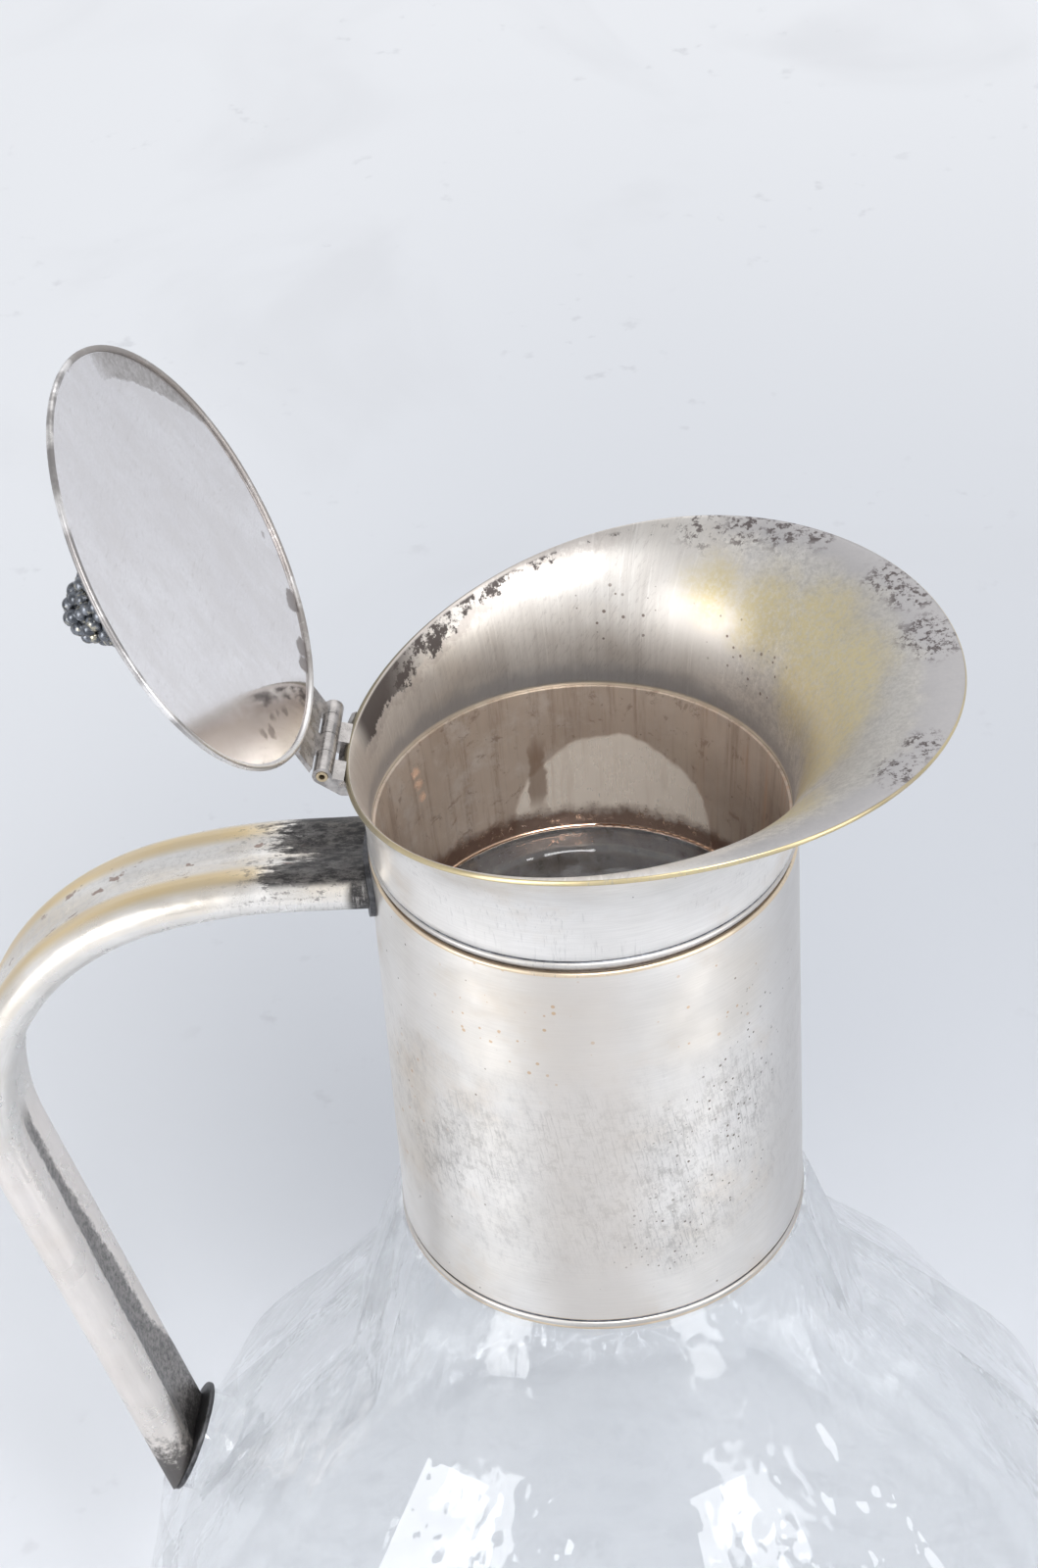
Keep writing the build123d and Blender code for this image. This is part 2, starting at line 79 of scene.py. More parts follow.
class Paint:
    """One material's nodes. Lengths are in millimetres, and values are numbers or node outputs."""

    def __init__(self, name, roughness=0.3, metallic=1.0):
        self.material = bpy.data.materials.new(name)
        self.material.use_nodes = True
        tree = self.material.node_tree
        self.nodes, self.links = tree.nodes, tree.links
        self.shader = next(n for n in self.nodes if n.type == "BSDF_PRINCIPLED")
        self.rough, self.metal = roughness, metallic
        self.set("Roughness", roughness)
        self.set("Metallic", metallic)
        place = self.nodes.new("ShaderNodeTexCoord")
        self.normal = place.outputs["Normal"]
        self.mm = self.stretch(place.outputs["Object"], 1 / MM)
        parts = self.node("SeparateXYZ", {"Vector": self.mm})
        self.x, self.y, self.z = parts.outputs

    def set(self, socket, value):
        self.put(self.shader.inputs[socket], value)

    def put(self, socket, value):
        if isinstance(value, bpy.types.NodeSocket):
            self.links.new(value, socket)
        elif isinstance(value, tuple) and len(value) == 3 and socket.type == "RGBA":
            socket.default_value = (*value, 1)
        else:
            socket.default_value = value

    def node(self, kind, inputs, **settings):
        made = self.nodes.new("ShaderNode" + kind)
        for key, value in settings.items():
            setattr(made, key, value)
        for key, value in inputs.items():
            self.put(made.inputs[key], value)
        return made

    def calc(self, operation, *values):
        made = self.node("Math", dict(enumerate(values)), operation=operation)
        return made.outputs[0]

    def minus(self, first, second):
        return self.calc("SUBTRACT", first, second)

    def line(self, value, slope, start):
        """value times slope, plus start."""
        return self.calc("MULTIPLY_ADD", value, slope, start)

    def off(self, value, middle=0.0):
        """How far value is from middle, either way."""
        return self.calc("ABSOLUTE", self.minus(value, middle) if middle else value)

    def times(self, first, *others):
        for other in others:
            first = self.calc("MULTIPLY", first, other)
        return first

    def more(self, first, *others):
        """The larger of several values."""
        for other in others:
            first = self.calc("MAXIMUM", first, other)
        return first

    def vector(self, operation, *values):
        made = self.node("VectorMath", dict(enumerate(values)), operation=operation)
        plain = operation in ("LENGTH", "DISTANCE", "DOT_PRODUCT")
        return made.outputs["Value" if plain else "Vector"]

    def stretch(self, vector, *factors):
        factors = factors * 3 if len(factors) == 1 else factors
        return self.vector("MULTIPLY", vector, factors)

    def noise(self, size, vector=None, detail=3.0, rough=0.5, twist=0.0):
        made = self.node("TexNoise", {"Vector": vector or self.mm, "Scale": 1 / size, "Detail": detail,
                                      "Roughness": rough, "Distortion": twist})
        return made.outputs["Fac"]

    def span(self, value, low, high, to_low=0.0, to_high=1.0):
        """value from low to high becomes to_low to to_high, smoothly, and stays there outside."""
        made = self.node("MapRange", {0: value, 1: low, 2: high, 3: to_low, 4: to_high},
                         interpolation_type="SMOOTHSTEP")
        return made.outputs[0]

    def mix(self, share, first, second):
        made = self.node("Mix", {0: share, 6: first, 7: second}, data_type="RGBA")
        return made.outputs[2]

    def blend(self, share, first, second):
        return self.node("Mix", {0: share, 2: first, 3: second}).outputs[0]

    def shifted(self, value, reach, size, **how):
        """value moved by up to half of reach either way, unevenly."""
        return self.line(self.minus(self.noise(size, **how), 0.5), reach, value)

    def near(self, point, radius, soft, wobble=0.0, size=6.0):
        """1 within radius of a point and 0 from radius + soft outwards, with an uneven edge."""
        distance = self.vector("DISTANCE", self.mm, point)
        if wobble:
            distance = self.shifted(distance, wobble, size)
        return self.span(distance, radius, radius + soft, 1.0, 0.0)

    def spots(self, points, soft=1.2, wobble=2.5, size=1.6):
        """1 near any of the (x, y, z, radius) points, with ragged edges."""
        total = 0.0
        for x, y, z, radius in points:
            total = self.more(self.near((x, y, z), radius, soft, wobble, size), total)
        return total

    def pits(self, size, share, radius=0.16):
        """Small round pits: cells of that size, of which only a share holds one."""
        cells = self.node("TexVoronoi", {"Vector": self.mm, "Scale": 1 / size, "Randomness": 1.0})
        pick = self.node("SeparateColor", {0: cells.outputs["Color"]}).outputs[0]
        wide = self.span(pick, 1 - share, 1.0, 0.0, radius)
        gap = self.minus(wide, cells.outputs["Distance"])
        return self.times(self.span(gap, 0.0, 0.05), self.calc("GREATER_THAN", wide, 0.0))

    def around(self, along):
        """Coordinates in which lines run up and down a round wall about Z: along is small."""
        flat = self.node("CombineXYZ", {0: self.x, 1: self.y}).outputs[0]
        lift = self.node("CombineXYZ", {2: self.times(self.z, along)}).outputs[0]
        wall = (COLLAR_RADIUS, COLLAR_RADIUS, 0)
        return self.vector("MULTIPLY_ADD", self.vector("NORMALIZE", flat), wall, lift)

    def unrolled(self, slant, along_round, along_height):
        """Coordinates on a round wall about Z, rolled out flat, sheared by slant and stretched."""
        round_mm = self.times(self.calc("ARCTAN2", self.y, self.x), COLLAR_RADIUS)
        across = self.times(self.line(self.z, slant, round_mm), along_round)
        return self.node("CombineXYZ", {0: across, 1: self.times(self.z, along_height)}).outputs[0]

    def bump(self, height, depth, socket="Normal"):
        made = self.node("Bump", {"Height": height, "Distance": depth * MM})
        self.set(socket, made.outputs[0])


def lay_colour(p, share, colour, roughness=None, metal=None):
    """Lays a colour over the paint where share is 1, for marks of wear and dirt as well as painted light and
    shade.
    """
    p.colour = p.mix(share, p.colour, colour)
    if roughness is not None:
        p.rough = p.blend(share, p.rough, roughness)
    if metal is not None:
        p.metal = p.blend(share, p.metal, metal)


def silver(name, grain=(0.05, 0.05, 1.0), roughness=0.33, tan=0.5, scuffs=0.5, pits=0.05,
           light=(0.90, 0.875, 0.845), dark=(0.77, 0.74, 0.70), metal=0.88, lengthwise=False):
    """Worn silver plate. grain stretches the polishing lines: small numbers run along that axis."""
    p = Paint(name, roughness, metal)
    p.lines = p.noise(0.3, p.around(0.05) if lengthwise else p.stretch(p.mm, *grain), detail=4, rough=0.6)
    cloud = p.noise(26, detail=4, rough=0.55)
    p.colour = p.mix(p.span(cloud, 0.35, 0.7), light, dark)
    warm = p.noise(17, p.stretch(p.mm, 1, 1, 1.3), detail=5, rough=0.6)
    lay_colour(p, p.span(warm, 0.5, 0.78, 0.0, tan), (0.66, 0.55, 0.43))
    lay_colour(p, p.span(p.lines, 0.3, 0.7, 0.13, 0.0), (0.40, 0.38, 0.36))
    scratch = p.noise(0.45, p.stretch(p.mm, 1, 1, 0.08), detail=3, rough=0.7)
    worn = p.times(p.span(p.noise(14, detail=2), 0.48, 0.64), p.span(scratch, 0.54, 0.70, 0.0, scuffs))
    lay_colour(p, worn, (0.36, 0.345, 0.33))
    p.holes = p.times(p.pits(1.3, pits), p.span(p.noise(11, detail=2), 0.47, 0.6))
    lay_colour(p, p.holes, (0.12, 0.085, 0.06))
    polish = p.span(p.noise(6, detail=5), 0.3, 0.7, roughness - 0.04, roughness + 0.07)
    p.rough = p.calc("ADD", polish, p.times(worn, 0.2))
    return p


def plain_dark(name, colour, roughness=0.45, metallic=0.8, size=1.1, light=2.4):
    """Dark oxide or plaster, mottled with a colour that is light times as bright."""
    p = Paint(name, roughness, metallic)
    grey = p.noise(size, detail=5, rough=0.65)
    p.colour = p.mix(p.span(grey, 0.38, 0.72), colour, tuple(c * light for c in colour))
    p.rough = p.span(grey, 0.3, 0.7, roughness - 0.1, roughness + 0.1)
    p.lines, p.holes = grey, 0.0
    return p


def finish_metal(p, depth=0.008):
    p.set("Base Color", p.colour)
    p.set("Roughness", p.rough)
    p.set("Metallic", p.metal)
    p.bump(p.minus(p.times(p.lines, 0.6), p.holes), depth)
    return p.material


def collar_paint():
    """Plain tube with polishing hairs, grazed and pitted in places."""
    p = silver("collar_silver", roughness=0.33, tan=0.45, scuffs=0.0, pits=0.03, light=(0.87, 0.845, 0.815))

    # grazes with slanted scratches, and hairs that cross them
    grazed = p.spots([(1, -35, 172, 6), (12, -33, 166, 9), (-18, -30, 168, 5), (23, -26, 172, 6),
                      (4, -35, 156, 6), (-24, -25, 160, 4), (16, -31, 152, 5)], soft=9, wobble=9, size=6)
    scratch = p.noise(0.42, p.unrolled(0.16, 1, 0.07), detail=4, rough=0.8)
    lay_colour(p, p.times(grazed, p.span(scratch, 0.50, 0.64, 0.0, 0.62)), (0.36, 0.345, 0.33), 0.48)
    bright_hair = p.noise(0.35, p.unrolled(-1.2, 0.05, 0.6), detail=4, rough=0.8)
    lay_colour(p, p.span(bright_hair, 0.6, 0.7, 0.0, 0.35), (0.97, 0.955, 0.94), 0.28)
    dark_hair = p.noise(0.5, p.unrolled(1.6, 0.06, 0.7), detail=4, rough=0.8)
    dark_hair = p.times(p.span(dark_hair, 0.58, 0.7, 0.0, 0.35), p.span(p.noise(12), 0.45, 0.6))
    lay_colour(p, dark_hair, (0.50, 0.48, 0.46))

    # pits and grime
    pitted = p.spots([(26, -23, 178, 6), (20, -28.5, 172, 5), (22, -27, 160, 7), (30, -18, 188, 4),
                      (12, -33, 150, 6)], soft=8, wobble=7, size=4)
    lay_colour(p, p.times(p.pits(0.9, 0.5, 0.30), pitted), (0.13, 0.10, 0.08), 0.6)
    lay_colour(p, p.times(p.pits(2.1, 0.3, 0.13), 0.8), (0.17, 0.12, 0.09), 0.6)
    grime = p.span(p.noise(2.2, detail=7, rough=0.8), 0.48, 0.62, 0.0, 0.55)
    lay_colour(p, p.times(grazed, grime), (0.38, 0.36, 0.34), 0.5)

    # warm patches and a mottled lower half, and a darker middle and right edge that are painted reflection
    warm = p.spots([(-29, -19, 172, 4), (-10, -33.5, 198, 9), (22, -27, 198, 6), (-31, -16, 158, 4)],
                   soft=10, wobble=6, size=7)
    lay_colour(p, p.times(warm, 0.22), (0.70, 0.60, 0.47))
    patchy = p.span(p.noise(13, detail=3), 0.38, 0.58, 0.3, 1.0)
    lower = p.times(p.span(p.z, 194, 178), p.span(p.z, 136, 150), patchy)
    mottle = p.noise(1.7, p.unrolled(0.16, 1, 0.4), detail=8, rough=0.85)
    lay_colour(p, p.times(lower, p.span(mottle, 0.46, 0.66, 0.0, 0.55)), (0.42, 0.40, 0.385), 0.42)
    # painted reflection: a darker middle between the bright bands that the lamps give
    lay_colour(p, p.times(p.span(p.off(p.x, 1), 13, 4), p.span(p.y, -20, -30), 0.6), (0.68, 0.625, 0.57))
    # painted reflection: a darker right edge
    lay_colour(p, p.times(p.span(p.x, 27, 34), p.span(p.y, 10, -5), 0.65), (0.58, 0.56, 0.545))
    lay_colour(p, p.times(warm, p.pits(1.5, 0.5, 0.26), 0.8), (0.58, 0.40, 0.24), 0.5)

    # highlights run up and down the tube
    p.set("Anisotropic", 0.75)
    p.set("Anisotropic Rotation", 0.25)
    p.set("Tangent", p.node("Tangent", {}, direction_type="RADIAL", axis="Z").outputs[0])
    return p


def below_rim(p):
    """Height under the spout's rim at the same place along X."""
    along = p.line(p.x, 1 / RIM_HALF_LENGTH, -RIM_MIDDLE / RIM_HALF_LENGTH)
    rim_z = p.line(p.line(along, -RIM_HOLLOW, RIM_TILT), along, GROOVE_Z + RIM_HEIGHT)
    return p.minus(rim_z, p.z)


def flare_paint():
    """Inside of the spout: streaked, brassy on the pouring side, with dark crusts under the rim."""
    p = silver("flare_inside", lengthwise=True, light=(0.83, 0.795, 0.75), dark=(0.70, 0.66, 0.61),
               roughness=0.40, tan=0.3, scuffs=0.0, pits=0.05, metal=0.86)

    # streaks down the wall and fine arcs across it
    streak = p.noise(1.5, p.around(0.03), detail=5, rough=0.7)
    lay_colour(p, p.times(p.span(streak, 0.42, 0.75, 0.0, 0.38), p.span(p.x, 32, 6)), (0.50, 0.455, 0.42), 0.42)
    arcs = p.noise(0.55, p.unrolled(0.5, 0.9, 0.25), detail=5, rough=0.8)
    lay_colour(p, p.times(p.span(arcs, 0.5, 0.68, 0.0, 0.5), p.span(p.x, 26, 6)), (0.44, 0.40, 0.37), 0.45)
    bright = p.noise(0.6, p.around(0.05), detail=4, rough=0.7)
    lay_colour(p, p.span(bright, 0.58, 0.7, 0.0, 0.5), (0.96, 0.93, 0.89), 0.25)

    # browner towards the hinge, greyer and mottled towards the lip
    lay_colour(p, p.span(p.x, 8, -34, 0.0, 0.3), (0.66, 0.58, 0.52), metal=0.5)
    lay_colour(p, p.span(p.shifted(p.x, 12, 8), 22, 46, 0.0, 0.75), (0.43, 0.41, 0.38), 0.45, 0.7)
    grain = p.span(p.noise(0.7, detail=6, rough=0.8), 0.42, 0.62)
    lay_colour(p, p.times(grain, p.span(p.x, 12, 34), 0.45), (0.36, 0.335, 0.31), 0.5)
    mottle = p.span(p.noise(2.0, detail=7, rough=0.8), 0.44, 0.64)
    mottle = p.times(mottle, p.span(p.shifted(p.x, 16, 9), 14, 30))
    lay_colour(p, p.times(mottle, 0.45), (0.34, 0.32, 0.31), 0.5)
    # painted shade: a darker, rougher spot that dims the top lamp's highlight
    lay_colour(p, p.times(p.near((20, 32, 230), 4, 9, 3), 0.7), (0.64, 0.61, 0.57), 0.52)

    # plate worn through to brass, and a sprinkle of dark pits beside it
    brass_zone = p.spots([(21, 34, 233, 1), (29.3, 27.7, 232.5, 3), (37.7, 20.9, 234.9, 4),
                          (41.7, 8.9, 233.7, 5), (39.9, 0.1, 231, 5), (37.9, -7.6, 229, 4),
                          (32.4, -25.9, 233.7, 3), (38, 14, 229, 5)], soft=8, wobble=5, size=4)
    speckle = p.span(p.noise(0.9, detail=4, rough=0.7), 0.35, 0.6, 0.45, 1.0)
    lay_colour(p, p.times(brass_zone, speckle, 0.85), (0.60, 0.51, 0.285))
    sprinkled = p.spots([(12, 35, 227, 3), (24, 30, 226, 3), (30, 22, 224, 3), (2, 36, 227, 3)],
                        soft=5, wobble=5, size=3)
    lay_colour(p, p.times(p.pits(1.1, 0.5, 0.3), sprinkled, 0.8), (0.14, 0.09, 0.065), 0.5)

    # grey lip with dark crusts
    drop = below_rim(p)
    lip = p.times(p.span(p.shifted(drop, 2.0, 5, detail=3), 1.9, 0.7), p.span(p.x, 14, 30))
    lay_colour(p, p.times(lip, 0.8), (0.40, 0.385, 0.39), 0.5, 0.6)
    crusted = p.spots([(18.7, 43.4, 239.3, 2), (25.8, 42, 240.2, 2), (32.3, 40.1, 240.9, 2),
                       (37.6, 38, 241.4, 1), (49.3, 25.6, 241.4, 2), (52.9, 21.9, 241.5, 2),
                       (55.1, 11.6, 241, 2.5), (56.2, 8.9, 241, 2), (54, -17.4, 241.3, 1.5),
                       (50.2, -23.4, 241.2, 2)], soft=4, wobble=5, size=2)
    crust = p.span(p.noise(1.5, detail=7, rough=0.75), 0.50, 0.57)
    lay_colour(p, p.times(crusted, crust, 0.9), (0.07, 0.052, 0.05), 0.6, 0.35)

    # dark band under the rim of the far side, widest at the hinge, with a paler halo below
    width = p.more(p.span(p.x, -36, -2, 5.6, 0.3), p.times(p.near((11, 36.5, 229), 2, 4), 1.3))
    ragged = p.shifted(drop, 7.5, 1.5, detail=6, rough=0.75)
    ragged = p.shifted(ragged, 5.0, 5.5)
    far_side = p.span(p.y, 2, 8)
    band = p.times(p.span(ragged, width, p.minus(width, 0.7)), far_side, p.span(drop, 0.3, 0.7),
                   p.span(p.x, 18, 12))
    patchy = p.more(p.span(p.noise(2.6, detail=6, rough=0.75), 0.43, 0.52), p.span(p.x, -24, -33))
    lay_colour(p, p.times(band, patchy, 0.95), (0.050, 0.036, 0.033), 0.55, 0.35)
    below = p.span(p.minus(ragged, 2.2), width, p.minus(width, 1.5))
    halo = p.times(p.minus(1.0, band), below, far_side, p.span(p.x, 12, 0))
    lay_colour(p, p.times(halo, 0.4), (0.42, 0.36, 0.33), 0.5)

    # where the flare meets the liner
    seam = p.span(p.shifted(p.z, 3.0, 3), 219.0, 215.6)
    lay_colour(p, p.times(seam, 0.6), (0.40, 0.39, 0.40), 0.45)
    lay_colour(p, p.span(p.z, 214.5, 214.0, 0.0, 0.8), (0.82, 0.77, 0.66), 0.25)
    return p


def liner_paint():
    """Brown tarnish with a painted reflection of a bright window on the far wall, and a coppery foot."""
    p = silver("liner_tarnish", light=(0.56, 0.45, 0.365), dark=(0.42, 0.32, 0.25), roughness=0.36, tan=0.3,
               scuffs=0.0, pits=0.05, metal=0.35, lengthwise=True)
    streak = p.noise(1.7, p.around(0.06), detail=5, rough=0.7)
    lay_colour(p, p.span(streak, 0.45, 0.7, 0.0, 0.6), (0.28, 0.185, 0.13), 0.42)
    cleaner = p.span(p.noise(5, detail=6, rough=0.7), 0.45, 0.7, 0.0, 0.7)
    lay_colour(p, p.times(cleaner, p.span(p.x, 6, -14, 0.3, 1.0)), (0.62, 0.55, 0.49), 0.4)
    blotch = p.noise(3.2, detail=6, rough=0.75, twist=0.5)
    lay_colour(p, p.span(blotch, 0.56, 0.66, 0.0, 0.55), (0.22, 0.145, 0.105), 0.45)
    copper = p.times(p.span(p.x, 14, 26), p.span(p.noise(2.5, p.around(0.1), detail=5), 0.5, 0.66))
    lay_colour(p, p.times(copper, 0.6), (0.52, 0.33, 0.22), 0.35)

    # pale patch, a painted reflection of a bright window, veiled again by tarnish, with one dark drip
    pale = p.near((3, 31.5, 186), 17.0, 1.0, 3.0, 5)
    lay_colour(p, p.times(pale, 0.9), (0.95, 0.85, 0.74), 0.26, 0.35)
    veil = p.noise(1.6, p.around(0.08), detail=5, rough=0.7)
    lay_colour(p, p.times(pale, p.span(veil, 0.5, 0.7, 0.0, 0.45)), (0.66, 0.55, 0.46), 0.35)
    drip = p.off(p.calc("ADD", p.x, p.line(p.noise(4), 3.4, 8.4)))
    drip = p.times(p.span(drip, 0.9, 1.6, 1.0, 0.0), p.span(p.z, 188, 193), p.span(p.y, 0, 5),
                   p.span(p.z, 205, 200))
    lay_colour(p, p.times(drip, 0.75), (0.30, 0.20, 0.14), 0.45, 0.5)

    # coppery foot, its bright turned edge, and glints beside the hinge
    foot = p.span(p.shifted(p.z, 5.0, 3, detail=5, rough=0.7), 190.2, 187.0)
    lay_colour(p, p.times(foot, 0.9), (0.20, 0.11, 0.075), 0.3, 0.7)
    glow = p.span(p.noise(1.2, detail=5, rough=0.75), 0.55, 0.64)
    lay_colour(p, p.times(foot, glow), (0.92, 0.60, 0.42), 0.2, 1.0)
    lay_colour(p, p.span(p.z, 185.4, 185.05), (0.92, 0.64, 0.47), 0.16, 1.0)
    glints = p.spots([(-28.9, 16.3, 208.6, 0.4), (-28.6, 16.6, 206, 0.5), (-28.4, 17, 203, 0.3)], soft=1.0)
    lay_colour(p, glints, (0.98, 0.66, 0.48), 0.2)
    return p


def handle_paint():
    """Hollow handle: brassy ridges above, black oxide at its root, along its inner seam and at its foot, and
    painted shade on the inner face near the foot.
    """
    p = silver("handle_silver", grain=(0.06, 1, 0.06), roughness=0.28, tan=0.25, scuffs=0.1, pits=0.0)
    from_bend = p.vector("NORMALIZE", p.vector("SUBTRACT", p.mm, HANDLE_BEND))
    facing = p.vector("DOT_PRODUCT", from_bend, p.normal)
    outer = p.span(facing, 0.1, 0.4)
    inner = p.span(facing, -0.1, -0.35)
    across = p.off(p.y)

    # ridges worn to brass, and a warm tint over the upper face
    ridge = p.span(p.off(across, HANDLE_RIDGE), 0.8, 2.9, 1.0, 0.0)
    rear = p.span(p.line(p.noise(5, detail=3), 8, p.x), -44, -54)
    ridge = p.times(ridge, outer, rear, p.span(p.z, 110, 150))
    lay_colour(p, p.times(ridge, 0.92), (0.76, 0.585, 0.32), 0.28)
    tint = p.span(p.noise(4, p.stretch(p.mm, 0.3, 1, 0.3), detail=4), 0.35, 0.65)
    lay_colour(p, p.times(outer, p.span(p.z, 150, 180), tint, 0.4), (0.72, 0.61, 0.46))

    # dull valley between the ridges, with brown flecks
    valley = p.times(p.span(across, 4.4, 2.2), outer, p.span(p.z, 150, 175))
    dull = p.span(p.noise(1.1, detail=5, rough=0.75), 0.45, 0.65, 0.0, 0.5)
    lay_colour(p, p.times(valley, dull), (0.60, 0.575, 0.55), 0.4)
    fleck = p.span(p.noise(2.4, p.stretch(p.mm, 0.5, 1, 0.5), detail=5, rough=0.6), 0.62, 0.66)
    lay_colour(p, p.times(fleck, p.span(across, 6.5, 3.0), outer, 0.85), (0.27, 0.19, 0.16), 0.55, 0.4)

    # black root, whose edge frays into long streaks along the handle
    top = p.span(p.z, 188, 194)
    beside = p.span(p.node("SeparateXYZ", {0: p.normal}).outputs[1], -0.85, -0.5)
    ragged = p.shifted(p.x, 52, 4.2, vector=p.stretch(p.mm, 0.17, 1, 1), detail=8, rough=0.72)
    ragged = p.shifted(ragged, 12, 0.7, vector=p.stretch(p.mm, 0.5, 1, 1), detail=4, rough=0.8)
    reach = p.times(p.span(ragged, -53.5, -48.0), top, p.more(outer, p.span(p.x, -44, -38)))
    worn = p.noise(1.1, p.stretch(p.mm, 0.4, 1, 1), detail=6, rough=0.8)
    root = p.times(reach, p.more(beside, p.span(p.x, -39, -37)), p.span(worn, 0.42, 0.62, 1.0, 0.86))
    lay_colour(p, root, (0.022, 0.020, 0.020), 0.5, 0.3)
    specks = p.span(p.noise(1.0, p.stretch(p.mm, 0.5, 1, 1), detail=6, rough=0.8), 0.54, 0.6)
    lay_colour(p, p.times(top, p.span(p.x, -64, -50), specks, outer, 0.8), (0.11, 0.10, 0.10), 0.6, 0.5)
    hatch = p.noise(0.5, p.stretch(p.mm, 0.9, 0, 0.25), detail=4, rough=0.8)
    hatched = p.times(p.span(p.x, -66, -52), top, p.minus(1.0, beside))
    lay_colour(p, p.times(hatched, p.span(hatch, 0.52, 0.64, 0.0, 0.6)), (0.45, 0.43, 0.41), 0.42)

    # lower limb: warmer, with a dark stripe of oxide along the inner seam that widens towards the foot into
    # painted shade on the inner face
    low = p.span(p.z, 150, 140)
    lay_colour(p, p.times(low, 0.45), (0.84, 0.76, 0.71))
    width = p.calc("ADD", p.span(p.z, 132, 95, 0.8, 2.6), p.span(p.z, 92, 66, 0.0, 5.0))
    offset = p.off(p.y, p.span(p.z, 92, 66, 0.2, 3.5))
    offset = p.shifted(offset, 5.0, 1.3, vector=p.stretch(p.mm, 0.6, 1, 0.6), detail=8, rough=0.85)
    # oxide along the seam, and painted shade on the inner face where the stripe widens near the foot
    stripe = p.times(p.span(p.minus(offset, width), 1.4, 0.3), inner, low)
    speckled = p.span(p.noise(1.0, detail=6, rough=0.8), 0.36, 0.60, 0.97, 0.72)
    lay_colour(p, p.times(stripe, speckled), (0.062, 0.062, 0.068), 0.42, 0.3)
    foot = p.shifted(p.z, 30, 2.0, detail=7, rough=0.8)
    lay_colour(p, p.times(p.span(foot, 72, 64), 0.93), (0.05, 0.047, 0.046), 0.5, 0.4)
    lay_colour(p, p.times(p.pits(2.6, 0.3, 0.12), p.span(p.z, 190, 160), 0.8), (0.14, 0.10, 0.09), 0.6)
    return p


def lid_paint():
    """Clouded polished lining, mirror-like near the hinge, with dark marks along its edge."""
    p = silver("lid_silver", grain=(0.5, 0.4, 1), roughness=0.03, tan=0.08, scuffs=0.0, pits=0.0,
               light=(0.93, 0.915, 0.93), dark=(0.865, 0.845, 0.86), metal=0.96)
    cloud = p.noise(7, p.stretch(p.mm, 1, 1.6, 0.5), detail=6, rough=0.7)
    lay_colour(p, p.span(cloud, 0.40, 0.64, 0.0, 0.6), (0.79, 0.765, 0.765))
    p.rough = p.blend(p.span(p.z, 241, 250), p.times(p.rough, 0.3), 0.12)
    fine = p.noise(0.35, p.stretch(p.mm, 0.7, 0.12, 0.5), detail=4, rough=0.75, twist=0.6)
    lay_colour(p, p.span(fine, 0.55, 0.70, 0.0, 0.4), (0.62, 0.59, 0.58))

    # dark band at the far upper edge, thinning out downwards, and soil all round
    from_middle = p.vector("SUBTRACT", p.mm, tuple(LID_MIDDLE))
    radius = p.vector("LENGTH", p.vector("CROSS_PRODUCT", from_middle, tuple(LID_AXIS)))
    far_edge = p.times(p.span(p.y, 12, 20), p.span(p.z, 254, 258))
    wide = p.times(p.span(p.z, 264, 280, 0.5, 4.4), p.span(p.z, 292, 287))
    ragged = p.shifted(radius, 2.4, 3.0, detail=5, rough=0.65)
    edge = p.minus(34.2, wide)
    band = p.times(p.span(ragged, edge, p.calc("ADD", edge, 0.5)), far_edge)
    uneven = p.span(p.noise(0.9, detail=5, rough=0.7), 0.35, 0.65, 0.62, 0.92)
    lay_colour(p, p.times(band, uneven), (0.30, 0.28, 0.27), 0.38, 0.7)
    soil = p.span(p.shifted(radius, 3.5, 1.6, detail=6, rough=0.8), 34.2, 34.9)
    lay_colour(p, p.times(soil, p.span(p.noise(6), 0.42, 0.55), 0.8), (0.25, 0.22, 0.21), 0.45, 0.7)
    dots = p.spots([(-46.8, 20.4, 241, 1.7), (-44.6, 13, 237, 1.5), (-44.2, 10, 236, 1.3),
                    (-50.8, 26.6, 250.6, 0.9)], soft=0.6, wobble=2)
    lay_colour(p, p.times(dots, 0.8), (0.25, 0.22, 0.21), 0.5)

    # soft tarnish near the hinge, with darker pools, and a painted reflection of the mouth below an edge
    # that follows its mirrored rim
    # painted reflection over real tarnish: darker below an edge that follows the mouth's mirrored rim
    tilt = p.shifted(p.line(p.y, 0.55, p.z), 3, 5, detail=4)
    tarnish = p.times(p.span(tilt, 240.5, 236), p.span(tilt, 227, 235, 0.1, 0.85))
    lay_colour(p, tarnish, (0.36, 0.31, 0.285))
    pools = p.spots([(-47.2, -12.4, 239.5, 1.0), (-47.4, -9.5, 240, 0.5), (-48.0, -15, 241, 0.6),
                     (-46.2, -5, 238, 0.5), (-46.8, -7, 239, 0.3)], soft=0.8, wobble=2.2)
    lay_colour(p, p.times(pools, 0.75), (0.20, 0.165, 0.155), 0.25)
    return p


def edge_paint():
    """The wire round the lid: bright where it is rubbed, dark and dotted above and on its far side."""
    p = silver("edge_silver", roughness=0.26, tan=0.3, scuffs=0.2, pits=0.0, light=(0.88, 0.86, 0.85))
    soil = p.times(p.span(p.noise(9, detail=4, rough=0.6), 0.36, 0.56), p.span(p.z, 246, 262, 0.1, 1.0))
    lay_colour(p, p.times(soil, 0.8), (0.16, 0.145, 0.14), 0.4, 0.8)
    far_side = p.times(p.span(p.y, 4, 14), p.span(p.noise(4, detail=5, rough=0.7), 0.36, 0.5, 0.45, 0.95))
    lay_colour(p, far_side, (0.33, 0.30, 0.28), 0.45, 0.7)
    return p


